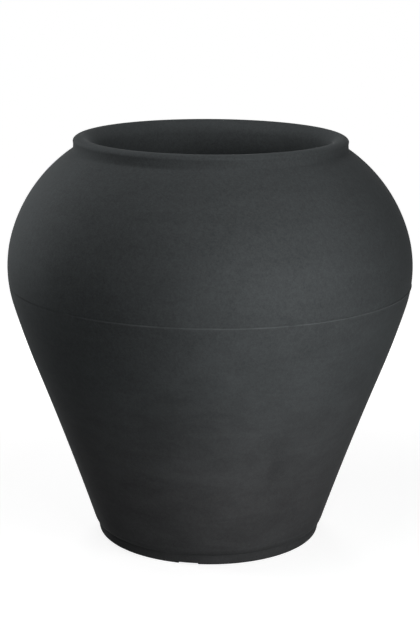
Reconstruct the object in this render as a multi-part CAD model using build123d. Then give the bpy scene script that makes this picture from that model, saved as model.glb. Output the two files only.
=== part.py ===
from build123d import *
import math
import os

# Squat belly jar, a planter moulded in the shape of an old oil jar.
# It stands on the ground at z = 0, its axis is Z and its front faces -Y.
# Lengths are millimetres and angles are degrees.

# Outline of the jar, seen from the side
jar_height = 603.0
belly_radius = 300.0  # widest ring, outside
belly_height = 410.7  # height of the widest ring
belly_bend = 180.0  # radius of the arc through the widest ring
belly_turn_up = 17.8  # how far that arc turns above the widest ring
belly_turn_down = 16.2  # and below it
girdle_bend = 1290.0  # slower arc between the belly and the tapering wall
girdle_turn = 4.7
heel_radius = 172.8  # tapering wall at its lower end, outside
foot_height = 15.5  # foot band under the wall
wall = 6.0

# Belly joint, where the lower shell's tongue enters the upper shell
seam_drop = 21.9  # the joint lies this far below the widest ring
lap_height = 14.0
line_height = 1.6  # thin raised line along the joint
line_proud = 0.5

# Neck and rim
rim_radius = 201.6
rim_width = 28.6  # from the mouth's narrowest ring to the rim's outside
roll_reach = 11.5  # from the rim's crest to its outside
roll_height = 8.5  # from the rim's seat to its crest
lip_round = 1.5  # rounding of the roll's lower edge
lip_depth = 20.0  # from the crest down to the mouth's narrowest ring
skirt_depth = 43.0  # from that ring down to the end of the rim's inner skirt
skirt_flare = 10.0
rim_wall = 5.0
collar_step = 0.6  # of the collar past the roll
collar_height = 11.1
collar_wall = 8.0
collar_cove = 3.0  # hollow between the shoulder and the collar
collar_chamfer = 1.0
tongue_wall = 3.5  # upstand on the collar, inside the rim
tongue_height = 3.0

# Base pan
heel_round = 4.0  # rounding of the wall's lower edge
band_inset = 2.4  # of the foot band, under the wall
band_taper = 2.8
foot_round = 3.0
foot_width = 26.0
floor_wall = 6.0
spigot_height = 20.0  # ring of the pan that enters the wall
spigot_wall = 5.0
floor_round = 4.0
notch_count = 3
notch_width = 29.0
notch_depth = 2.5
notch_angle = -100.0  # the first notch, left of the front

# Drain and its plug
drain_radius = 12.5
boss_wall = 8.5
boss_depth = 5.5
plug_gap = 0.2  # running clearance around the plug
flange_reach = 6.5  # of the plug's flange past the drain
flange_height = 4.0
plug_edge = 1.5
waist_radius = 6.5
waist_height = 7.0
knob_radius = 11.0
knob_height = 9.0

# Fits
bond_gap = 0.3  # around tongues and spigots
seat_gap = 0.5  # above a tongue's end

# Rings that several pieces share
seam_height = belly_height - seam_drop
seat_height = jar_height - roll_height
shoulder_top = seat_height - collar_height
collar_radius = rim_radius + collar_step
neck_bore = collar_radius - collar_wall
tongue_radius = neck_bore + tongue_wall
floor_under = foot_height - floor_wall
outer_top = (collar_radius, shoulder_top)
outer_heel = (heel_radius, foot_height)


def ring_box(low_radius, high_radius, low, high):
    """Rectangle of the half section, between two radii and two heights."""
    middle = Pos((low_radius + high_radius) / 2, (low + high) / 2)
    return middle * Rectangle(high_radius - low_radius, high - low)


def turned(section):
    """Solid of a half section, turned about the jar's axis."""
    return revolve(Plane.XZ * section, Axis.Z)


def rounded(section, radius, height, size):
    """Half section with the corner nearest to a point rounded."""
    corner = section.vertices().sort_by_distance((radius, height))[0]
    return fillet(corner, size)


def belly_at(height):
    """Outer radius on the arc through the widest ring."""
    return belly_radius - belly_bend + math.sqrt(belly_bend**2 - (height - belly_height) ** 2)


def outline(inset, top, heel):
    """Edges of the wall from its top to its heel, moved in from the outer face."""
    widest = (belly_radius - inset, belly_height)
    rise = JernArc(widest, (0, 1), belly_bend - inset, belly_turn_up)
    fall = JernArc(widest, (0, -1), belly_bend - inset, -belly_turn_down)
    girdle = JernArc(fall @ 1, fall % 1, girdle_bend - inset, -girdle_turn)
    shoulder = TangentArc(rise @ 1, top, tangent=rise % 1)
    taper = TangentArc(girdle @ 1, heel, tangent=girdle % 1)
    return [shoulder, rise, fall, girdle, taper]


def heel_slope():
    """Direction in which the outer face runs down at its heel."""
    return outline(0.0, outer_top, outer_heel)[-1] % 1


def inner_heel_radius():
    """Inner radius of the wall at its heel."""
    return heel_radius - wall / abs(heel_slope().Y)


def wall_section():
    """Half section of both shells in one, from the heel to the tongue on the collar."""
    outer = outline(0.0, outer_top, outer_heel)
    slope = outer[0] % 1
    inner_top = (collar_radius - wall * slope.Y, shoulder_top + wall * slope.X)
    inner_heel = (inner_heel_radius(), foot_height)
    inner = outline(wall, inner_top, inner_heel)
    tongue_top = seat_height + tongue_height
    collar = Polyline(
        outer_top,
        (collar_radius, seat_height),
        (tongue_radius, seat_height),
        (tongue_radius, tongue_top),
        (neck_bore, tongue_top),
        (neck_bore, shoulder_top),
        inner_top,
    )
    section = make_face(outer + inner + collar.edges() + [Line(outer_heel, inner_heel)])
    section = rounded(section, collar_radius, shoulder_top, collar_cove)
    section = rounded(section, heel_radius, foot_height, heel_round)
    collar_edge = section.vertices().sort_by_distance((collar_radius, seat_height))[0]
    return chamfer(collar_edge, collar_chamfer)


def lap_radius():
    """Radius of the belly joint's tongue, in the middle of the wall."""
    return belly_at(seam_height + lap_height / 2) - wall / 2


def shoulder_shell():
    """Upper shell: shoulder, collar and the socket for the lower shell's tongue."""
    upper = ring_box(0, 2 * belly_radius, seam_height, jar_height)
    socket_top = seam_height + lap_height + seat_gap
    socket = ring_box(0, lap_radius() + bond_gap, seam_height, socket_top)
    return turned(wall_section() & (upper - socket))


def body_shell():
    """Lower shell: tapering wall, tongue and the raised line along the joint."""
    lower = ring_box(0, 2 * belly_radius, 0, seam_height)
    tongue = ring_box(0, lap_radius(), seam_height, seam_height + lap_height)
    low = (belly_at(seam_height - line_height), seam_height - line_height)
    high = (belly_at(seam_height), seam_height)
    crest = ((low[0] + high[0]) / 2 + line_proud, (low[1] + high[1]) / 2)
    raised_line = make_face([ThreePointArc(low, crest, high), Line(high, low)])
    return turned((wall_section() & (lower + tongue)) + raised_line)


def rim_ring():
    """Rolled rim: an upside-down channel over the collar's tongue, with a skirt into the mouth."""
    crest_radius = rim_radius - roll_reach
    mouth_radius = rim_radius - rim_width
    mouth_height = jar_height - lip_depth
    widest_height = seat_height + lip_round
    leg_radius = tongue_radius + bond_gap
    channel_top = seat_height + tongue_height + seat_gap
    skirt_end = (mouth_radius + skirt_flare, mouth_height - skirt_depth)
    skirt_back = (skirt_end[0] + rim_wall, skirt_end[1])
    mouth_reach = crest_radius - mouth_radius
    roll_rise = jar_height - widest_height
    hollow_rise = channel_top - mouth_height
    roll_middle = (crest_radius, widest_height)
    mouth_middle = (crest_radius, mouth_height)
    lip = JernArc((rim_radius - lip_round, seat_height), (1, 0), lip_round, 90)
    roll = EllipticalCenterArc(roll_middle, roll_reach, roll_rise, 0, arc_size=90)
    mouth = EllipticalCenterArc(mouth_middle, mouth_reach, lip_depth, 90, arc_size=90)
    skirt = TangentArc(mouth @ 1, skirt_end, tangent=(0, -1))
    hollow = EllipticalCenterArc(mouth_middle, mouth_reach - rim_wall, hollow_rise, 90, arc_size=90)
    back = TangentArc(hollow @ 1, skirt_back, tangent=(0, -1))
    channel = Polyline(
        hollow @ 0,
        (leg_radius, channel_top),
        (leg_radius, seat_height),
        lip @ 0,
    )
    end = Line(skirt_end, skirt_back)
    return turned(make_face([lip, roll, mouth, skirt, end, back, hollow] + channel.edges()))


def base_pan():
    """Floor with the foot band, the ring that enters the wall, the drain boss and the drain notches."""
    slope = heel_slope()
    lean = slope.X / slope.Y
    spigot_radius = inner_heel_radius() - bond_gap
    spigot_top = foot_height + spigot_height
    band_radius = heel_radius - band_inset
    foot_radius = band_radius - band_taper
    boss_radius = drain_radius + boss_wall
    boss_under = floor_under - boss_depth
    section = make_face(
        Polyline(
            (drain_radius, boss_under),
            (boss_radius, boss_under),
            (boss_radius, floor_under),
            (foot_radius - foot_width, floor_under),
            (foot_radius - foot_width, 0),
            (foot_radius, 0),
            (band_radius, foot_height),
            (spigot_radius, foot_height),
            (spigot_radius + lean * spigot_height, spigot_top),
            (spigot_radius + lean * spigot_height - spigot_wall, spigot_top),
            (spigot_radius - spigot_wall, foot_height),
            (drain_radius, foot_height),
            close=True,
        )
    )
    section = rounded(section, foot_radius, 0, foot_round)
    section = rounded(section, spigot_radius - spigot_wall, foot_height, floor_round)
    pan = turned(section)
    reach = 2 * foot_radius
    notch = Pos(reach / 2, 0, notch_depth / 2) * Box(reach, notch_width, notch_depth)
    inside = Cylinder(foot_radius - foot_width, 2 * floor_under)
    for step in range(notch_count):
        pan -= Rot(0, 0, notch_angle + step * 360 / notch_count) * (notch - inside)
    return pan


def drain_plug():
    """Push-in rubber stopper, its flange on the floor and its knob above it."""
    shank_radius = drain_radius - plug_gap
    shank_end = floor_under - boss_depth
    flange_radius = drain_radius + flange_reach
    flange_top = foot_height + flange_height
    knob_under = flange_top + waist_height
    knob_top = knob_under + knob_height
    section = make_face(
        Polyline(
            (0, shank_end),
            (shank_radius, shank_end),
            (shank_radius, foot_height),
            (flange_radius, foot_height),
            (flange_radius, flange_top),
            (waist_radius, flange_top),
            (waist_radius, knob_under),
            (knob_radius, knob_under),
            (knob_radius, knob_top),
            (0, knob_top),
            close=True,
        )
    )
    section = rounded(section, shank_radius, shank_end, plug_edge)
    section = rounded(section, flange_radius, flange_top, plug_edge)
    section = rounded(section, waist_radius, flange_top, plug_edge)
    section = rounded(section, waist_radius, knob_under, plug_edge)
    section = rounded(section, knob_radius, knob_under, plug_edge)
    section = rounded(section, knob_radius, knob_top, knob_height / 2)
    return turned(section)


pieces = {
    "rim_ring": rim_ring(),
    "shoulder_shell": shoulder_shell(),
    "body_shell": body_shell(),
    "base_pan": base_pan(),
    "drain_plug": drain_plug(),
}
os.makedirs("parts", exist_ok=True)
for name, piece in pieces.items():
    export_step(piece, f"parts/{name}.step")
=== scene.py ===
import math

import bpy
from mathutils import Euler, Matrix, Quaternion, Vector


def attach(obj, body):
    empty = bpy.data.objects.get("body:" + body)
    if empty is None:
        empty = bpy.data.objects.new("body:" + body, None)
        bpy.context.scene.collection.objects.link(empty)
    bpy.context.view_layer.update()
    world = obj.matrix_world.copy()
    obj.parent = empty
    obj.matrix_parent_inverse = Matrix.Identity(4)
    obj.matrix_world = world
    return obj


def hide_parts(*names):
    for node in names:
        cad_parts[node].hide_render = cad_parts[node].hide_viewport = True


# Squat belly jar, a moulded planter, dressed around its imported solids.
# Sections are drawn in millimetres as (radius, height) and turned about the jar's axis.
# Headings are degrees from +X, and the jar's front faces -Y.

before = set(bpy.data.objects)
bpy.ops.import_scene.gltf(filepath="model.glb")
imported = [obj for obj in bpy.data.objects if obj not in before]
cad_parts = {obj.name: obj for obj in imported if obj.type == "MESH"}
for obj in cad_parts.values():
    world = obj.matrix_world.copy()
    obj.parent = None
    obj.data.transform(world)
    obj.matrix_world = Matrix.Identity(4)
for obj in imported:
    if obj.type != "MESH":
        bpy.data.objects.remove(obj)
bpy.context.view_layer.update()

MM = 0.001

# Outline of the jar
jar_height = 603.0
belly_radius = 300.0
belly_height = 410.7
belly_bend = 180.0
belly_turn_up = 17.8
belly_turn_down = 16.2
girdle_bend = 1290.0
girdle_turn = 4.7
heel_radius = 172.8
foot_height = 15.5
wall = 6.0

# Belly joint
seam_drop = 21.9  # under the widest ring
seam_round = 0.5
lap_height = 14.0
bead_height = 1.5
bead_proud = 0.25
bead_fade = 4.0  # height over which the bead and its push run out into the wall
bead_push = 0.8  # sideways, as the mould halves met
push_heading = -30.0  # towards the right of the front
push_clearance = 1.0  # from the tongue to what the push moves
push_margin = 0.01  # above the joint, for points that lie on it

# Neck and rim
rim_radius = 201.6
rim_width = 28.6  # from the mouth's narrowest ring to the rim's outside
rim_wall = 5.0
roll_reach = 11.5  # from the rim's crest to its outside
roll_height = 8.5  # from the rim's seat to its crest
lip_rise = 2.0  # from the seat to the roll's widest ring
lip_tuck = 0.35  # of the roll's lower edge
mouth_depth = 20.0  # from the crest down to the mouth's narrowest ring
skirt_depth = 43.0  # from that ring down to the skirt's end
skirt_flare = 10.0
skirt_round = 1.5
collar_step = 0.6  # of the collar's foot past the roll
collar_height = 11.1
collar_wall = 8.0
collar_lean = 15.0  # inwards at its foot, from where it hollows up to the roll
collar_cove = 2.0  # rounding between the shoulder and the collar
tongue_wall = 3.5
tongue_height = 3.0

# Foot, drain and plug
heel_round = 11.0  # up the wall
heel_tuck = 4.5  # and under it
band_inset = 2.4  # of the foot band, under the wall
band_taper = 2.8
band_drop = 1.5  # from the wall's lower end to where the band leans in
band_lean = 0.4
band_rise = 0.6  # of the band's edge into the crease under the wall
foot_round = 3.0
foot_width = 26.0
floor_wall = 6.0
spigot_height = 20.0
spigot_wall = 5.0
floor_round = 4.0
notch_count = 3
notch_width = 29.0
notch_depth = 2.5
notch_overrun = 4.0  # of a cut past each side of the foot's ring
first_notch = -100.0
drain_radius = 12.5
boss_wall = 8.5
boss_depth = 5.5
plug_gap = 0.2
flange_reach = 6.5  # of the plug's flange past the drain
flange_height = 4.0
plug_edge = 1.5
waist_radius = 6.5
waist_height = 7.0
knob_radius = 11.0
knob_height = 9.0

# Fits
bond_gap = 0.3
seat_gap = 0.5

# Rings that several pieces share
seam_height = belly_height - seam_drop
crest_radius = rim_radius - roll_reach
mouth_radius = rim_radius - rim_width
mouth_height = jar_height - mouth_depth
skirt_end = (mouth_radius + skirt_flare, mouth_height - skirt_depth)
seat_height = jar_height - roll_height
shoulder_top = seat_height - collar_height
collar_radius = rim_radius + collar_step
neck_bore = collar_radius - collar_wall
tongue_radius = neck_bore + tongue_wall
band_radius = heel_radius - band_inset
foot_radius = band_radius - band_taper
flange_radius = drain_radius + flange_reach

# Fineness of the meshes: steps of arcs and roundings, then of the turn about the axis
belly_steps = 18
fall_steps = 12
girdle_steps = 24
wall_steps = 44  # of the shoulder, and of the taper
roll_steps = 16
mouth_steps = 20
skirt_steps = 16
hollow_steps = 12
back_steps = 8
collar_steps = 10
corner_steps = 8
heel_steps = 12
bead_steps = 6
plug_steps = 5
edge_steps = 4
segments = 288
plug_segments = 96
weld = 0.001  # points nearer than this become one
crease_angle = 32.0  # sharper edges are not shaded smooth

# Sandy charcoal: a pair of colours is dark and pale, a pair of shares is on the shoulder and low down
charcoal_high = ((0.0392, 0.0427, 0.0440), (0.0588, 0.0641, 0.0661))
charcoal_low = ((0.0415, 0.0424, 0.0436), (0.0622, 0.0636, 0.0654))
# Pale colour for rubbed wear on the crest and heel, and for a painted highlight along the belly bead
charcoal_rubbed_and_highlight = (0.098, 0.104, 0.107)
# Dark colour for painted shade in the foot crease and along the seam
painted_crease_shade = (0.022, 0.0232, 0.024)
charcoal_roughness = 0.75
charcoal_gloss = 0.022
charcoal_grain = 2.4
charcoal_relief = 0.5
relief_strength = 0.35
grain_shares = (0.85, 0.62)
cloud_shares = (0.45, 0.85)
grain_roughness = 0.1
cloud_roughness = 0.08
sandy_fade = (0.40, 0.24)  # heights in metres, from the sandy shoulder to the cloudier wall
cool_fade = (0.10, 0.30)  # heights in metres, from the plain tone to the cooler one
# Painted highlight with some rubbed wear along the belly bead, strongest on its right-front side where
# the lower shell stands proud
bead_highlight_heading = -60.0
bead_highlight_strength = 2.4
bead_shade_heading = 150.0  # back-left, where the seam line gets painted shade
bead_shade_strength = 3.0
mid_shade = 0.5

# Stopper rubber
rubber_colours = ((0.016, 0.016, 0.017), (0.025, 0.025, 0.026))
rubber_rubbed = (0.05, 0.05, 0.051)
rubber_roughness = (0.45, 0.6)
rubber_gloss = 0.4
rubber_grain = 0.9
rubber_relief = 0.2
rubber_strength = 0.2
rubbed_reach = 3.5
rubbed_patch = 6.0
rubbed_share = 0.6

# Stage and camera: places in metres, lens and sensor in millimetres
floor_half = 40.0
floor_shade = 0.5
floor_glow = 0.82  # beside the jar
floor_fade = (0.5, 1.3)
even_light = 0.0  # of the surroundings on matte surfaces
camera_place = (0.00037, -2.35847, 0.92563)
camera_lens = 92.465
camera_sensor = 36.0
camera_dip = 14.1215
camera_roll = 0.3687


# Section lines

def bend(start, heading, radius, turn, steps):
    """Points of an arc from start along a heading, without start itself, and the heading at its end."""
    side = math.copysign(radius, turn)
    first = math.radians(heading)
    middle = (start[0] - side * math.sin(first), start[1] + side * math.cos(first))
    points = []
    for step in range(1, steps + 1):
        now = math.radians(heading + turn * step / steps)
        points.append((middle[0] + side * math.sin(now), middle[1] - side * math.cos(now)))
    return points, heading + turn


def bend_to(start, heading, end, steps):
    """Points of the arc that leaves start along a heading and ends at a point, without start."""
    across = (end[0] - start[0], end[1] - start[1])
    chord = math.degrees(math.atan2(across[1], across[0]))
    turn = 2 * ((chord - heading + 180) % 360 - 180)
    radius = math.hypot(*across) / (2 * math.sin(math.radians(abs(turn) / 2)))
    return bend(start, heading, radius, turn, steps)[0]


def quarter(middle, reach, rise, start, steps):
    """Points of a quarter of an ellipse, from a starting angle on, both ends included."""
    points = []
    for step in range(steps + 1):
        angle = math.radians(start + 90 * step / steps)
        points.append((middle[0] + reach * math.cos(angle), middle[1] + rise * math.sin(angle)))
    return points


def walk(points, index, way, reach):
    """Index and point at a distance along a line, from one of its points on."""
    left = reach
    while 0 <= index + way < len(points):
        step = math.dist(points[index], points[index + way])
        if step >= left:
            share = left / step
            here, there = points[index], points[index + way]
            return index + way, tuple(a + share * (b - a) for a, b in zip(here, there))
        left -= step
        index += way
    return index, points[index]


def eased(points, corner, reach, steps=corner_steps, reach_on=None):
    """The line with its corner nearest to a point rounded; reach_on sets another reach after it."""
    at = min(range(len(points)), key=lambda i: math.dist(points[i], corner))
    before, start = walk(points, at, -1, reach)
    after, end = walk(points, at, 1, reach if reach_on is None else reach_on)
    pulls = (start, points[at], end)
    rounding = []
    for step in range(steps + 1):
        t = step / steps
        weights = ((1 - t) ** 2, 2 * t * (1 - t), t**2)
        radius = sum(weight * pull[0] for weight, pull in zip(weights, pulls))
        height = sum(weight * pull[1] for weight, pull in zip(weights, pulls))
        rounding.append((radius, height))
    return points[: before + 1] + rounding + points[after:]


def belly_turn(height, inset):
    """Angle on the belly's arc at a height, from its widest ring down."""
    return math.degrees(math.asin((belly_height - height) / (belly_bend - inset)))


def belly_point(height, inset):
    """Point of the belly's arc at a height."""
    turn = math.radians(belly_turn(height, inset))
    return belly_radius - belly_bend + (belly_bend - inset) * math.cos(turn), height


def upper_wall(inset, low, top):
    """Line of the wall from a height on the belly up over the shoulder."""
    turn = belly_turn(low, inset)
    start = belly_point(low, inset)
    rise, heading = bend(start, 90 - turn, belly_bend - inset, turn + belly_turn_up, belly_steps)
    return [start] + rise + bend_to(rise[-1], heading, top, wall_steps)


def lower_wall(inset, high, heel):
    """Line of the wall from a height on the belly down to the heel."""
    turn = belly_turn(high, inset)
    start = belly_point(high, inset)
    fall, heading = bend(start, -90 - turn, belly_bend - inset, turn - belly_turn_down, fall_steps)
    girdle, heading = bend(fall[-1], heading, girdle_bend - inset, -girdle_turn, girdle_steps)
    return [start] + fall + girdle + bend_to(girdle[-1], heading, heel, wall_steps)


def inward(line, thickness):
    """End of a wall's line, moved square to the line by the wall's thickness."""
    (r0, z0), (r1, z1) = line[-2:]
    length = math.dist(line[-2], line[-1])
    return r1 - thickness * (z1 - z0) / length, z1 + thickness * (r1 - r0) / length


def heel_lean():
    """Outward lean of the outer wall just above its heel, for each unit of height."""
    (r1, z1), (r0, z0) = lower_wall(0.0, seam_height, (heel_radius, foot_height))[-2:]
    return (r1 - r0) / (z1 - z0)


def inner_heel():
    """Inner radius of the wall at its heel."""
    return heel_radius - wall * math.hypot(1.0, heel_lean())


def lap_radius():
    """Radius of the belly joint's tongue, in the middle of the wall."""
    return belly_point(seam_height + lap_height / 2, 0.0)[0] - wall / 2


def rim_section():
    """Rolled rim: an upside-down channel with a skirt into the mouth."""
    widest = seat_height + lip_rise
    channel_top = seat_height + tongue_height + seat_gap
    leg = tongue_radius + bond_gap
    reach = crest_radius - mouth_radius
    lip = [(rim_radius - lip_tuck, seat_height)]
    roll = quarter((crest_radius, widest), rim_radius - crest_radius, jar_height - widest, 0, roll_steps)
    mouth = quarter((crest_radius, mouth_height), reach, mouth_depth, 90, mouth_steps)
    skirt = bend_to(mouth[-1], -90, skirt_end, skirt_steps)
    back_end = (skirt_end[0] + rim_wall, skirt_end[1])
    hollow_middle = (crest_radius, mouth_height)
    hollow = quarter(hollow_middle, reach - rim_wall, channel_top - mouth_height, 90, hollow_steps)
    back = bend_to(hollow[-1], -90, back_end, back_steps)
    channel = [(leg, channel_top), (leg, seat_height)]
    line = lip + roll[:-1] + mouth + skirt + [back_end] + back[-2::-1] + hollow[::-1] + channel
    line = eased(line, skirt_end, skirt_round, edge_steps)
    return eased(line, back_end, skirt_round, edge_steps)


def shoulder_section():
    """Upper shell: shoulder, collar and the socket of the belly joint."""
    outer = upper_wall(0.0, seam_height, (collar_radius, shoulder_top))
    inner_top = inward(outer, wall)
    socket_top = seam_height + lap_height + seat_gap
    inner = upper_wall(wall, socket_top, inner_top)
    tongue_top = seat_height + tongue_height
    socket = lap_radius() + bond_gap
    collar_top = (rim_radius - lip_tuck, seat_height)
    collar = bend_to(outer[-1], 90 + collar_lean, collar_top, collar_steps)
    tongue = [
        (tongue_radius, seat_height),
        (tongue_radius, tongue_top),
        (neck_bore, tongue_top),
        (neck_bore, shoulder_top),
    ]
    line = [(socket, socket_top), (socket, seam_height)] + outer + collar + tongue + inner[::-1]
    line = eased(line, (collar_radius, shoulder_top), collar_cove)
    return eased(line, outer[0], seam_round, edge_steps)


def body_section():
    """Lower shell: tapering wall, tongue and the raised line along the joint."""
    outer = lower_wall(0.0, seam_height, (heel_radius, foot_height))
    lap_top = seam_height + lap_height
    inner = lower_wall(wall, lap_top, (inner_heel(), foot_height))
    lap = lap_radius()
    bead_top = (outer[0][0] + bead_proud, seam_height)
    under = [p for p in outer if p[1] < seam_height - bead_fade]
    bead_low = belly_point(seam_height - bead_height, 0.0)
    bead = [bead_top, (bead_low[0] + bead_proud, bead_low[1])]
    line = [(lap, lap_top), (lap, seam_height)] + bead + under + inner[::-1]
    line = eased(line, bead_top, bead_height / 2, bead_steps)
    line = eased(line, (heel_radius, foot_height), heel_round, heel_steps, reach_on=heel_tuck)
    return line[::-1]  # so that its faces point outwards


def pan_section():
    """Floor, foot band, drain boss and the ring that enters the wall."""
    spigot = inner_heel() - bond_gap
    spigot_top = foot_height + spigot_height
    spigot_out = spigot + heel_lean() * spigot_height
    floor_under = foot_height - floor_wall
    boss_under = floor_under - boss_depth
    boss = drain_radius + boss_wall
    hollow = foot_radius - foot_width
    line = [
        (drain_radius, foot_height),
        (drain_radius, boss_under),
        (boss, boss_under),
        (boss, floor_under),
        (hollow, floor_under),
        (hollow, 0.0),
        (foot_radius, 0.0),
        (band_radius, foot_height - band_drop),
        (band_radius - band_lean, foot_height + band_rise),
        (spigot, foot_height + band_rise),
        (spigot_out, spigot_top),
        (spigot_out - spigot_wall, spigot_top),
        (spigot - spigot_wall, foot_height),
    ]
    line = eased(line, (foot_radius, 0.0), foot_round)
    return eased(line, (spigot - spigot_wall, foot_height), floor_round)


def plug_section():
    """Push-in stopper with its flange on the floor and its knob above."""
    shank = drain_radius - plug_gap
    shank_end = foot_height - floor_wall - boss_depth
    flange_top = foot_height + flange_height
    knob_under = flange_top + waist_height
    knob_top = knob_under + knob_height
    line = [
        (0.0, shank_end),
        (shank, shank_end),
        (shank, foot_height),
        (flange_radius, foot_height),
        (flange_radius, flange_top),
        (waist_radius, flange_top),
        (waist_radius, knob_under),
        (knob_radius, knob_under),
        (knob_radius, knob_top),
        (0.0, knob_top),
    ]
    line = eased(line, (knob_radius, knob_top), knob_height / 2)
    for corner in [
        (knob_radius, knob_under),
        (waist_radius, knob_under),
        (waist_radius, flange_top),
        (flange_radius, flange_top),
        (shank, shank_end),
    ]:
        line = eased(line, corner, plug_edge, plug_steps)
    return line


# Node trees that make meshes

def add_node(tree, kind, **settings):
    """A node of a kind, with its named properties set."""
    node = tree.nodes.new(kind)
    for key, value in settings.items():
        setattr(node, key, value)
    return node


def wire(tree, source, target):
    """A link between two sockets."""
    tree.links.new(source, target)


def feed(tree, node, key, value):
    """Sets an input to a plain value, or links a socket to it."""
    if isinstance(value, bpy.types.NodeSocket):
        wire(tree, value, node.inputs[key])
    else:
        node.inputs[key].default_value = value


def sums(tree, operation, first, second=0.0, kind="ShaderNodeMath"):
    """Result of a sum on two numbers or sockets."""
    node = add_node(tree, kind, operation=operation)
    feed(tree, node, 0, first)
    feed(tree, node, 1, second)
    return node.outputs[0]


def stretch(tree, value, low, high, new_low=0.0, new_high=1.0, smooth=False):
    """A value taken from one span to another and held inside it."""
    kind = "SMOOTHSTEP" if smooth else "LINEAR"
    node = add_node(tree, "ShaderNodeMapRange", clamp=True, interpolation_type=kind)
    labels = ("Value", "From Min", "From Max", "To Min", "To Max")
    for label, number in zip(labels, (value, low, high, new_low, new_high)):
        feed(tree, node, label, number)
    return node.outputs[0]


def geometry_tree(name, inputs):
    """An empty geometry tree with named inputs."""
    tree = bpy.data.node_groups.new(name, "GeometryNodeTree")
    tree.interface.new_socket("Geometry", in_out="INPUT", socket_type="NodeSocketGeometry")
    for label, kind in inputs:
        tree.interface.new_socket(label, in_out="INPUT", socket_type=kind)
    tree.interface.new_socket("Geometry", in_out="OUTPUT", socket_type="NodeSocketGeometry")
    source = tree.nodes.new("NodeGroupInput")
    target = tree.nodes.new("NodeGroupOutput")
    return tree, source.outputs, target.inputs[0]


def finish_mesh(tree, mesh, crease, finish, target):
    """Smooth shading that breaks at sharp corners, then the finish."""
    smooth = add_node(tree, "GeometryNodeSetShadeSmooth", domain="FACE")
    wire(tree, mesh, smooth.inputs["Geometry"])
    angle = add_node(tree, "GeometryNodeInputMeshEdgeAngle")
    sharp = add_node(tree, "FunctionNodeCompare", operation="GREATER_THAN", data_type="FLOAT")
    wire(tree, angle.outputs["Unsigned Angle"], sharp.inputs["A"])
    wire(tree, crease, sharp.inputs["B"])
    corners = add_node(tree, "GeometryNodeSetShadeSmooth", domain="EDGE")
    wire(tree, smooth.outputs[0], corners.inputs["Geometry"])
    wire(tree, sharp.outputs[0], corners.inputs["Selection"])
    corners.inputs["Shade Smooth"].default_value = False
    real = add_node(tree, "GeometryNodeRealizeInstances")
    wire(tree, corners.outputs[0], real.inputs[0])
    coat = add_node(tree, "GeometryNodeSetMaterial")
    wire(tree, real.outputs[0], coat.inputs["Geometry"])
    wire(tree, finish, coat.inputs["Material"])
    wire(tree, coat.outputs[0], target)


def turned_mesh(tree, section, count):
    """Mesh of a section, turned about Z: each grid row is one point of the section."""
    info = add_node(tree, "GeometryNodeObjectInfo", transform_space="ORIGINAL")
    wire(tree, section, info.inputs["Object"])
    line = info.outputs["Geometry"]
    size = add_node(tree, "GeometryNodeAttributeDomainSize", component="CURVE")
    wire(tree, line, size.inputs[0])
    rows = size.outputs["Point Count"]
    grid = add_node(tree, "GeometryNodeMeshGrid")
    wire(tree, sums(tree, "ADD", count, 1, "FunctionNodeIntegerMath"), grid.inputs["Vertices X"])
    wire(tree, rows, grid.inputs["Vertices Y"])
    index = add_node(tree, "GeometryNodeInputIndex").outputs[0]
    row = sums(tree, "MODULO", index, rows, "FunctionNodeIntegerMath")
    column = sums(tree, "DIVIDE", index, rows, "FunctionNodeIntegerMath")
    place = add_node(tree, "GeometryNodeInputPosition").outputs[0]
    sample = add_node(tree, "GeometryNodeSampleIndex", data_type="FLOAT_VECTOR", domain="POINT")
    wire(tree, line, sample.inputs["Geometry"])
    wire(tree, place, sample.inputs["Value"])
    wire(tree, row, sample.inputs["Index"])
    parts = add_node(tree, "ShaderNodeSeparateXYZ")
    wire(tree, sample.outputs[0], parts.inputs[0])
    share = sums(tree, "DIVIDE", column, count)
    angle = sums(tree, "MULTIPLY", share, math.tau)
    point = add_node(tree, "ShaderNodeCombineXYZ")
    wire(tree, sums(tree, "MULTIPLY", parts.outputs[0], sums(tree, "COSINE", angle)), point.inputs[0])
    wire(tree, sums(tree, "MULTIPLY", parts.outputs[0], sums(tree, "SINE", angle)), point.inputs[1])
    wire(tree, parts.outputs[1], point.inputs[2])
    put = add_node(tree, "GeometryNodeSetPosition")
    wire(tree, grid.outputs["Mesh"], put.inputs["Geometry"])
    wire(tree, point.outputs[0], put.inputs["Position"])
    closed = add_node(tree, "GeometryNodeMergeByDistance")
    wire(tree, put.outputs[0], closed.inputs["Geometry"])
    closed.inputs["Distance"].default_value = weld * MM
    return closed.outputs[0]


def make_turning_tree():
    """Tree that turns a section into a shell."""
    tree, given, target = geometry_tree("turned_form", [
        ("Section", "NodeSocketObject"),
        ("Segments", "NodeSocketInt"),
        ("Crease", "NodeSocketFloat"),
        ("Finish", "NodeSocketMaterial"),
    ])
    mesh = turned_mesh(tree, given["Section"], given["Segments"])
    finish_mesh(tree, mesh, given["Crease"], given["Finish"], target)
    return tree


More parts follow.
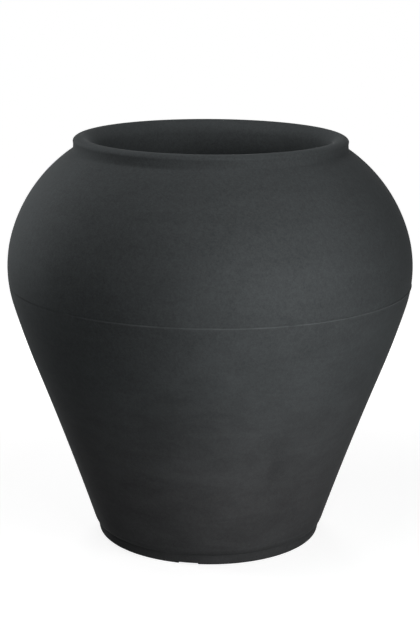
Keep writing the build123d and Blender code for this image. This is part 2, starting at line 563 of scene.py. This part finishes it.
def make_seaming_tree():
    """Tree that turns the lower shell and pushes its upper edge a little sideways under the joint."""
    tree, given, target = geometry_tree("seamed_form", [
        ("Section", "NodeSocketObject"),
        ("Segments", "NodeSocketInt"),
        ("Crease", "NodeSocketFloat"),
        ("Finish", "NodeSocketMaterial"),
        ("Seam Height", "NodeSocketFloat"),
        ("Seam Radius", "NodeSocketFloat"),
        ("Seam Fade", "NodeSocketFloat"),
        ("Seam Push", "NodeSocketVector"),
    ])
    mesh = turned_mesh(tree, given["Section"], given["Segments"])
    place = add_node(tree, "GeometryNodeInputPosition").outputs[0]
    parts = add_node(tree, "ShaderNodeSeparateXYZ")
    wire(tree, place, parts.inputs[0])
    across = sums(tree, "POWER", parts.outputs[0], 2.0)
    along = sums(tree, "POWER", parts.outputs[1], 2.0)
    radius = sums(tree, "SQRT", sums(tree, "ADD", across, along))
    outside = sums(tree, "GREATER_THAN", radius, given["Seam Radius"])
    top = sums(tree, "ADD", given["Seam Height"], push_margin * MM)
    below = sums(tree, "LESS_THAN", parts.outputs[2], top)
    low = sums(tree, "SUBTRACT", given["Seam Height"], given["Seam Fade"])
    near = stretch(tree, parts.outputs[2], low, given["Seam Height"], smooth=True)
    share = sums(tree, "MULTIPLY", near, sums(tree, "MULTIPLY", outside, below))
    push = add_node(tree, "ShaderNodeVectorMath", operation="SCALE")
    wire(tree, given["Seam Push"], push.inputs[0])
    wire(tree, share, push.inputs["Scale"])
    moved = add_node(tree, "GeometryNodeSetPosition")
    wire(tree, mesh, moved.inputs["Geometry"])
    wire(tree, push.outputs[0], moved.inputs["Offset"])
    finish_mesh(tree, moved.outputs[0], given["Crease"], given["Finish"], target)
    return tree


def make_notching_tree():
    """Tree that turns the foot pan and cuts the drain notches round its foot."""
    tree, given, target = geometry_tree("notched_foot", [
        ("Section", "NodeSocketObject"),
        ("Segments", "NodeSocketInt"),
        ("Crease", "NodeSocketFloat"),
        ("Finish", "NodeSocketMaterial"),
        ("Notch Count", "NodeSocketInt"),
        ("First Notch", "NodeSocketFloat"),
        ("Notch Size", "NodeSocketVector"),
        ("Notch Reach", "NodeSocketFloat"),
    ])
    mesh = turned_mesh(tree, given["Section"], given["Segments"])
    block = add_node(tree, "GeometryNodeMeshCube")
    wire(tree, given["Notch Size"], block.inputs["Size"])
    shift = add_node(tree, "ShaderNodeCombineXYZ")
    wire(tree, given["Notch Reach"], shift.inputs[0])
    moved = add_node(tree, "GeometryNodeTransform")
    wire(tree, block.outputs["Mesh"], moved.inputs["Geometry"])
    wire(tree, shift.outputs[0], moved.inputs["Translation"])
    spots = add_node(tree, "GeometryNodePoints")
    wire(tree, given["Notch Count"], spots.inputs["Count"])
    index = add_node(tree, "GeometryNodeInputIndex").outputs[0]
    step = sums(tree, "DIVIDE", math.tau, given["Notch Count"])
    angle = sums(tree, "ADD", sums(tree, "MULTIPLY", index, step), given["First Notch"])
    spin = add_node(tree, "ShaderNodeCombineXYZ")
    wire(tree, angle, spin.inputs[2])
    turn = add_node(tree, "FunctionNodeEulerToRotation")
    wire(tree, spin.outputs[0], turn.inputs[0])
    copies = add_node(tree, "GeometryNodeInstanceOnPoints")
    wire(tree, spots.outputs[0], copies.inputs["Points"])
    wire(tree, moved.outputs[0], copies.inputs["Instance"])
    wire(tree, turn.outputs[0], copies.inputs["Rotation"])
    blocks = add_node(tree, "GeometryNodeRealizeInstances")
    wire(tree, copies.outputs[0], blocks.inputs[0])
    cut = add_node(tree, "GeometryNodeMeshBoolean", operation="DIFFERENCE", solver="EXACT")
    wire(tree, mesh, cut.inputs[0])
    wire(tree, blocks.outputs[0], cut.inputs[1])
    finish_mesh(tree, cut.outputs["Mesh"], given["Crease"], given["Finish"], target)
    return tree


def section_curve(name, line):
    """Section as a curve in metres, closed by its first point unless it starts on the axis."""
    curve = bpy.data.curves.new(name, "CURVE")
    curve.dimensions = "3D"
    spline = curve.splines.new("POLY")
    points = line if line[0][0] == 0.0 else line + line[:1]
    spline.points.add(len(points) - 1)
    for point, (radius, height) in zip(spline.points, points):
        point.co = (radius * MM, height * MM, 0.0, 1.0)
    holder = bpy.data.objects.new(name, curve)
    bpy.context.scene.collection.objects.link(holder)
    return holder


def grown_piece(name, tree, values):
    """Plain mesh object of a geometry tree with its named inputs set."""
    seed = bpy.data.meshes.new(name)
    piece = bpy.data.objects.new(name, seed)
    bpy.context.scene.collection.objects.link(piece)
    maker = piece.modifiers.new("maker", "NODES")
    maker.node_group = tree
    for item in tree.interface.items_tree:
        if item.item_type == "SOCKET" and item.in_out == "INPUT" and item.name in values:
            maker[item.identifier] = values[item.name]
    graph = bpy.context.evaluated_depsgraph_get()
    made = bpy.data.meshes.new_from_object(piece.evaluated_get(graph))
    made.name = name
    made.materials.clear()
    made.materials.append(values["Finish"])
    piece.modifiers.remove(maker)
    piece.data = made
    bpy.data.meshes.remove(seed)
    return piece


def turned_piece(name, line, finish, tree, count, **more):
    """Piece turned from a section line."""
    holder = section_curve(name + "_section", line)
    crease = math.radians(crease_angle)
    values = {"Section": holder, "Segments": count, "Crease": crease, "Finish": finish, **more}
    piece = grown_piece(name, tree, values)
    curve = holder.data
    bpy.data.objects.remove(holder)
    bpy.data.curves.remove(curve)
    return piece


# Finishes

def shader_group(name, inputs, outputs):
    """An empty shader group with named inputs, set to plain values, and named outputs."""
    group = bpy.data.node_groups.new(name, "ShaderNodeTree")
    for label, kind, value in inputs:
        socket = group.interface.new_socket(label, in_out="INPUT", socket_type=kind)
        socket.default_value = value
    for label in outputs:
        group.interface.new_socket(label, in_out="OUTPUT", socket_type="NodeSocketFloat")
    source = group.nodes.new("NodeGroupInput")
    target = group.nodes.new("NodeGroupOutput")
    return group, source.outputs, target.inputs


def use_group(tree, group, **values):
    """A group placed in a finish; underscores in a value's name stand for spaces."""
    node = add_node(tree, "ShaderNodeGroup", node_tree=group)
    for label, value in values.items():
        feed(tree, node, label.replace("_", " "), value)
    return node.outputs


def noise(tree, place, scale, detail, roughness, distortion=0.0):
    """Soft noise between 0 and 1."""
    node = add_node(tree, "ShaderNodeTexNoise")
    feed(tree, node, "Vector", place)
    feed(tree, node, "Scale", scale)
    feed(tree, node, "Detail", detail)
    feed(tree, node, "Roughness", roughness)
    feed(tree, node, "Distortion", distortion)
    return node.outputs[0]


def blended(tree, first, first_share, second, second_share):
    """Two values added in their shares."""
    one = sums(tree, "MULTIPLY", first, first_share)
    other = sums(tree, "MULTIPLY", second, second_share)
    return sums(tree, "ADD", one, other)


def tint(tree, share, first, second):
    """A colour between two colours."""
    node = add_node(tree, "ShaderNodeMix", data_type="RGBA", clamp_factor=True)
    feed(tree, node, 0, share)
    first_socket, second_socket, mixed_socket = 6, 7, 2
    for key, colour in ((first_socket, first), (second_socket, second)):
        feed(tree, node, key, colour if isinstance(colour, bpy.types.NodeSocket) else (*colour, 1.0))
    return node.outputs[mixed_socket]


def make_sand_grain():
    """Fine sand of the mould: a speckled shade and its height."""
    group, given, out = shader_group("sand_grain", [
        ("Place", "NodeSocketVector", (0.0, 0.0, 0.0)),
        ("Grain", "NodeSocketFloat", charcoal_grain * MM),
    ], ["Shade", "Height"])
    fine_share = 0.6
    clump_share = 0.4
    clump_fineness = 0.4
    fine_scale = sums(group, "DIVIDE", 1.0, given["Grain"])
    clump_scale = sums(group, "MULTIPLY", fine_scale, clump_fineness)
    fine = noise(group, given["Place"], fine_scale, detail=2.0, roughness=0.6)
    clump = noise(group, given["Place"], clump_scale, detail=2.0, roughness=0.6)
    mixed = blended(group, fine, fine_share, clump, clump_share)
    wire(group, stretch(group, mixed, low=0.32, high=0.68), out["Shade"])
    wire(group, fine, out["Height"])
    return group


def make_cloudy_tone():
    """Cloudy tone of the coloured plastic, with streaks that are drawn out level."""
    group, given, out = shader_group("cloudy_tone", [
        ("Place", "NodeSocketVector", (0.0, 0.0, 0.0)),
        ("Cloud", "NodeSocketFloat", 110 * MM),
        ("Streak", "NodeSocketFloat", 26 * MM),
        ("Turn", "NodeSocketFloat", math.radians(-24)),
    ], ["Tone"])
    wide_share = 0.55
    streak_share = 0.45
    streak_drawn = (0.3, 0.3, 1.0)  # scaled before the turn, so the streaks stay level
    cloud_scale = sums(group, "DIVIDE", 1.0, given["Cloud"])
    streak_scale = sums(group, "DIVIDE", 1.0, given["Streak"])
    wide = noise(group, given["Place"], cloud_scale, detail=3.0, roughness=0.55, distortion=0.6)
    turn = add_node(group, "ShaderNodeCombineXYZ")
    wire(group, given["Turn"], turn.inputs[1])
    drawn = add_node(group, "ShaderNodeMapping", vector_type="POINT")
    wire(group, given["Place"], drawn.inputs["Vector"])
    wire(group, turn.outputs[0], drawn.inputs["Rotation"])
    drawn.inputs["Scale"].default_value = streak_drawn
    streaks = noise(group, drawn.outputs[0], streak_scale, detail=3.0, roughness=0.6, distortion=0.8)
    mixed = blended(group, wide, wide_share, streaks, streak_share)
    wire(group, stretch(group, mixed, low=0.34, high=0.66), out["Tone"])
    return group


def make_ring_band():
    """Mask around a ring of the jar, for rubbed edges, painted highlights and painted shade in creases.
    """
    group, given, out = shader_group("ring_band", [
        ("Place", "NodeSocketVector", (0.0, 0.0, 0.0)),
        ("Radius", "NodeSocketFloat", 1.0),
        ("Height", "NodeSocketFloat", 0.0),
        ("Reach", "NodeSocketFloat", 4 * MM),
        ("Patch", "NodeSocketFloat", 30 * MM),
        ("All Round", "NodeSocketFloat", 1.0),
        ("Worn Side", "NodeSocketVector", (0.0, 0.0, 0.0)),
    ], ["Mask"])
    parts = add_node(group, "ShaderNodeSeparateXYZ")
    wire(group, given["Place"], parts.inputs[0])
    flat = add_node(group, "ShaderNodeCombineXYZ")
    wire(group, parts.outputs[0], flat.inputs[0])
    wire(group, parts.outputs[1], flat.inputs[1])
    length = add_node(group, "ShaderNodeVectorMath", operation="LENGTH")
    wire(group, flat.outputs[0], length.inputs[0])
    out_by = sums(group, "SUBTRACT", length.outputs["Value"], given["Radius"])
    up_by = sums(group, "SUBTRACT", parts.outputs[2], given["Height"])
    squares = sums(group, "ADD", sums(group, "POWER", out_by, 2.0), sums(group, "POWER", up_by, 2.0))
    near = stretch(group, sums(group, "SQRT", squares), given["Reach"], 0.0, smooth=True)
    patch_scale = sums(group, "DIVIDE", 1.0, given["Patch"])
    patchy = noise(group, given["Place"], patch_scale, detail=3.0, roughness=0.6)
    patchy = stretch(group, patchy, low=0.35, high=0.6, new_low=0.45)
    # Side towards which a painted highlight or painted shade gathers; All Round keeps the rest of the
    # ring
    heading = add_node(group, "ShaderNodeVectorMath", operation="NORMALIZE")
    wire(group, flat.outputs[0], heading.inputs[0])
    facing = add_node(group, "ShaderNodeVectorMath", operation="DOT_PRODUCT")
    wire(group, heading.outputs[0], facing.inputs[0])
    wire(group, given["Worn Side"], facing.inputs[1])
    side = stretch(group, sums(group, "ADD", facing.outputs["Value"], given["All Round"]), 0.0, 1.0)
    wire(group, sums(group, "MULTIPLY", near, sums(group, "MULTIPLY", patchy, side)), out["Mask"])
    return group


def new_finish(name):
    """A finish with its shader, and the place on the piece."""
    finish = bpy.data.materials.new(name)
    finish.use_nodes = True
    tree = finish.node_tree
    place = add_node(tree, "ShaderNodeTexCoord").outputs["Object"]
    return finish, tree, tree.nodes["Principled BSDF"], place


def add_bump(tree, shader, height, strength, distance):
    """Fine relief of a finish."""
    bump = add_node(tree, "ShaderNodeBump")
    feed(tree, bump, "Height", height)
    feed(tree, bump, "Strength", strength)
    feed(tree, bump, "Distance", distance)
    wire(tree, bump.outputs[0], shader.inputs["Normal"])


def heading_vector(heading, length=1.0):
    """Level vector along a heading."""
    angle = math.radians(heading)
    return length * math.cos(angle), length * math.sin(angle), 0.0


def charcoal_rings():
    """Rings of the jar that are rubbed pale, or that carry a painted highlight or painted shade."""
    all_round = (0.0, 0.0, 0.0)
    bead_highlight_side = heading_vector(bead_highlight_heading, bead_highlight_strength)
    bead_shade_side = heading_vector(bead_shade_heading, bead_shade_strength)
    seam_radius = belly_radius - 1.0
    bead_middle = seam_height - bead_height / 2
    heel_ring = (heel_radius + 2.0, foot_height + heel_round)
    band_ring = (band_radius, foot_height - 1.0)
    # Radius, height, reach, share, share all round, side and colour
    return [
        # Belly bead: rubbed wear and a painted highlight on its right-front side
        (seam_radius, bead_middle, 1.9, 0.8, -0.6, bead_highlight_side, charcoal_rubbed_and_highlight),
        (crest_radius, jar_height, 5.0, 0.04, 1.0, all_round, charcoal_rubbed_and_highlight),
        (*heel_ring, 4.0, 0.1, 1.0, all_round, charcoal_rubbed_and_highlight),
        # Seam: painted shade on its back-left side
        (seam_radius, seam_height, 2.2, 0.95, -0.5, bead_shade_side, painted_crease_shade),
        # Foot crease: painted shade all round
        (*band_ring, 6.0, 0.2, 1.0, all_round, painted_crease_shade),
    ]


def make_sandy_charcoal(sand, cloud, band):
    """Matte charcoal plastic: sandy on the shoulder, cloudier low down, with rubbed wear, painted
    highlight and painted shade along its rings.
    """
    finish, tree, shader, place = new_finish("sandy_charcoal")
    grain = use_group(tree, sand, Place=place, Grain=charcoal_grain * MM)
    tone = use_group(tree, cloud, Place=place)["Tone"]
    parts = add_node(tree, "ShaderNodeSeparateXYZ")
    wire(tree, place, parts.inputs[0])
    low = stretch(tree, parts.outputs[2], *sandy_fade)
    grain_share = stretch(tree, low, 0.0, 1.0, *grain_shares)
    tone_share = stretch(tree, low, 0.0, 1.0, *cloud_shares)
    grainy = sums(tree, "MULTIPLY", sums(tree, "SUBTRACT", grain["Shade"], mid_shade), grain_share)
    toned = sums(tree, "MULTIPLY", sums(tree, "SUBTRACT", tone, mid_shade), tone_share)
    shade = sums(tree, "ADD", mid_shade, sums(tree, "ADD", grainy, toned))
    cool = stretch(tree, parts.outputs[2], *cool_fade)
    colour = tint(tree, cool, tint(tree, shade, *charcoal_low), tint(tree, shade, *charcoal_high))
    # Each ring tints the colour towards rubbed wear, a painted highlight or painted shade
    for radius, height, reach, share, base, side, shade_to in charcoal_rings():
        mask = use_group(
            tree, band, Place=place, Radius=radius * MM, Height=height * MM, Reach=reach * MM,
            All_Round=base, Worn_Side=side,
        )
        colour = tint(tree, sums(tree, "MULTIPLY", mask["Mask"], share), colour, shade_to)
    wire(tree, colour, shader.inputs["Base Color"])
    rough = blended(tree, grain["Shade"], grain_roughness, tone, cloud_roughness)
    smoothest = charcoal_roughness - (grain_roughness + cloud_roughness) * mid_shade
    wire(tree, sums(tree, "ADD", rough, smoothest), shader.inputs["Roughness"])
    shader.inputs["Specular IOR Level"].default_value = charcoal_gloss
    add_bump(tree, shader, grain["Height"], relief_strength, charcoal_relief * MM)
    return finish


def make_stopper_rubber(sand, band):
    """Satin black rubber, paler where fingers rub the knob and the flange."""
    finish, tree, shader, place = new_finish("stopper_rubber")
    grain = use_group(tree, sand, Place=place, Grain=rubber_grain * MM)
    colour = tint(tree, grain["Shade"], *rubber_colours)
    knob_side = foot_height + flange_height + waist_height + knob_height / 2
    for radius, height in ((knob_radius, knob_side), (flange_radius, foot_height + flange_height)):
        mask = use_group(
            tree, band, Place=place, Radius=radius * MM, Height=height * MM, Reach=rubbed_reach * MM,
            Patch=rubbed_patch * MM,
        )
        colour = tint(tree, sums(tree, "MULTIPLY", mask["Mask"], rubbed_share), colour, rubber_rubbed)
    wire(tree, colour, shader.inputs["Base Color"])
    wire(tree, stretch(tree, grain["Shade"], 0.0, 1.0, *rubber_roughness), shader.inputs["Roughness"])
    shader.inputs["Specular IOR Level"].default_value = rubber_gloss
    add_bump(tree, shader, grain["Height"], rubber_strength, rubber_relief * MM)
    return finish


sand_grain = make_sand_grain()
cloudy_tone = make_cloudy_tone()
ring_band = make_ring_band()
charcoal = make_sandy_charcoal(sand_grain, cloudy_tone, ring_band)
rubber = make_stopper_rubber(sand_grain, ring_band)

# Pieces

turning = make_turning_tree()
seaming = make_seaming_tree()
notching = make_notching_tree()
rim = turned_piece("rolled_rim", rim_section(), charcoal, turning, segments)
shoulder = turned_piece("shoulder", shoulder_section(), charcoal, turning, segments)
body = turned_piece("tapering_body", body_section(), charcoal, seaming, segments, **{
    "Seam Height": seam_height * MM,
    "Seam Radius": (lap_radius() + push_clearance) * MM,
    "Seam Fade": bead_fade * MM,
    "Seam Push": heading_vector(push_heading, bead_push * MM),
})
cut_length = foot_width + 2 * notch_overrun
cut_height = 2 * notch_depth  # half of it lies under the foot
pan = turned_piece("foot_pan", pan_section(), charcoal, notching, segments, **{
    "Notch Count": notch_count,
    "First Notch": math.radians(first_notch),
    "Notch Size": (cut_length * MM, notch_width * MM, cut_height * MM),
    "Notch Reach": (foot_radius - foot_width / 2) * MM,
})
plug = turned_piece("drain_stopper", plug_section(), rubber, turning, plug_segments)
for piece, body_name, node, finish_slot in [
    (rim, "jar", "rim_ring", "charcoal_plastic"),
    (shoulder, "jar", "shoulder_shell", "charcoal_plastic"),
    (body, "jar", "body_shell", "charcoal_plastic"),
    (pan, "jar", "base_pan", "charcoal_plastic"),
    (plug, "plug", "drain_plug", "plug_rubber"),
]:
    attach(piece, body_name)
    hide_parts(node)

# Stage, lamps and camera

def seen_rays(tree):
    """1 for rays that look at a surface, straight, in gloss or through glass, and otherwise 0."""
    path = add_node(tree, "ShaderNodeLightPath").outputs
    looks = sums(tree, "MAXIMUM", path["Is Camera Ray"], path["Is Glossy Ray"])
    return sums(tree, "MAXIMUM", looks, path["Is Transmission Ray"])


def make_pale_floor():
    """Pale floor that looks white and keeps the jar's shadow."""
    finish = bpy.data.materials.new("pale_floor")
    finish.use_nodes = True
    tree = finish.node_tree
    tree.nodes.remove(tree.nodes["Principled BSDF"])
    matt = add_node(tree, "ShaderNodeBsdfDiffuse")
    feed(tree, matt, "Color", (floor_shade, floor_shade, floor_shade, 1.0))
    place = add_node(tree, "ShaderNodeTexCoord").outputs["Object"]
    away = add_node(tree, "ShaderNodeVectorMath", operation="LENGTH")
    wire(tree, place, away.inputs[0])
    glow = add_node(tree, "ShaderNodeEmission")
    strength = stretch(tree, away.outputs["Value"], *floor_fade, new_low=floor_glow, smooth=True)
    wire(tree, strength, glow.inputs["Strength"])
    shown = add_node(tree, "ShaderNodeAddShader")
    wire(tree, matt.outputs[0], shown.inputs[0])
    wire(tree, glow.outputs[0], shown.inputs[1])
    choice = add_node(tree, "ShaderNodeMixShader")
    wire(tree, seen_rays(tree), choice.inputs[0])
    wire(tree, matt.outputs[0], choice.inputs[1])
    wire(tree, shown.outputs[0], choice.inputs[2])
    wire(tree, choice.outputs[0], tree.nodes["Material Output"].inputs["Surface"])
    return finish


def make_floor():
    """Wide level square that the jar stands on."""
    corners = [
        (-floor_half, -floor_half, 0),
        (floor_half, -floor_half, 0),
        (floor_half, floor_half, 0),
        (-floor_half, floor_half, 0),
    ]
    mesh = bpy.data.meshes.new("floor")
    mesh.from_pydata(corners, [], [(0, 1, 2, 3)])
    mesh.materials.append(make_pale_floor())
    square = bpy.data.objects.new("floor", mesh)
    bpy.context.scene.collection.objects.link(square)
    return square


def make_studio_world():
    """White surroundings to look at, which leave the matte light to the lamps while even_light is 0."""
    world = bpy.data.worlds.new("studio")
    world.use_nodes = True
    tree = world.node_tree
    even = tree.nodes["Background"]
    feed(tree, even, "Color", (1.0, 1.0, 1.0, 1.0))
    feed(tree, even, "Strength", even_light)
    white = add_node(tree, "ShaderNodeBackground")
    feed(tree, white, "Color", (1.0, 1.0, 1.0, 1.0))
    feed(tree, white, "Strength", 1.0)
    choice = add_node(tree, "ShaderNodeMixShader")
    wire(tree, seen_rays(tree), choice.inputs[0])
    wire(tree, even.outputs[0], choice.inputs[1])
    wire(tree, white.outputs[0], choice.inputs[2])
    wire(tree, choice.outputs[0], tree.nodes["World Output"].inputs["Surface"])
    bpy.context.scene.world = world


def lamp(name, place, aim, size, power):
    """Soft round lamp that faces a point; metres and watts."""
    light = bpy.data.lights.new(name, "AREA")
    light.shape = "DISK"
    light.size = size
    light.energy = power
    holder = bpy.data.objects.new(name, light)
    holder.location = place
    holder.rotation_mode = "QUATERNION"
    holder.rotation_quaternion = (Vector(aim) - Vector(place)).to_track_quat("-Z", "Y")
    holder.visible_camera = False
    bpy.context.scene.collection.objects.link(holder)


def make_camera():
    """Camera at the photograph's place, dipped towards the jar and rolled a little."""
    view = bpy.data.cameras.new("photo_view")
    view.lens = camera_lens
    view.sensor_width = camera_sensor
    camera = bpy.data.objects.new("photo_view", view)
    camera.location = camera_place
    camera.rotation_mode = "QUATERNION"
    tilt = Euler((math.radians(90 - camera_dip), 0, 0)).to_quaternion()
    camera.rotation_quaternion = tilt @ Quaternion((0, 0, 1), math.radians(camera_roll))
    bpy.context.scene.collection.objects.link(camera)
    bpy.context.scene.camera = camera


floor = make_floor()
make_studio_world()
lamp("front", place=(0.833, -0.833, 0.929), aim=(0.0, 0.0, 0.38), size=0.4, power=3.24)
lamp("close_front", place=(0.205, -0.564, 0.5), aim=(0.068, -0.188, 0.42), size=0.2, power=0.496)
lamp("low_fill", place=(0.357, -0.823, 0.12), aim=(0.0, 0.0, 0.25), size=0.2, power=2.57)
lamp("back_left", place=(-0.6, 0.25, 0.85), aim=(-0.2, 0.0, 0.5), size=0.3, power=0.913)
lamp("close_left", place=(-0.517, -0.188, 0.6), aim=(-0.226, -0.082, 0.48), size=0.15, power=0.73)
lamp("behind", place=(-0.1, 1.3, 0.45), aim=(0.0, 0.0, 0.33), size=0.5, power=6.5)
lamp("overhead", place=(0.0, -0.3, 1.1), aim=(0.0, -0.06, 0.6), size=0.5, power=2.14)
lamp("over_mouth", place=(0.0, 0.0, 0.8), aim=(0.12, 0.1, 0.58), size=0.12, power=0.195)
make_camera()
bpy.context.scene.view_settings.view_transform = "Standard"

bpy.context.view_layer.update()
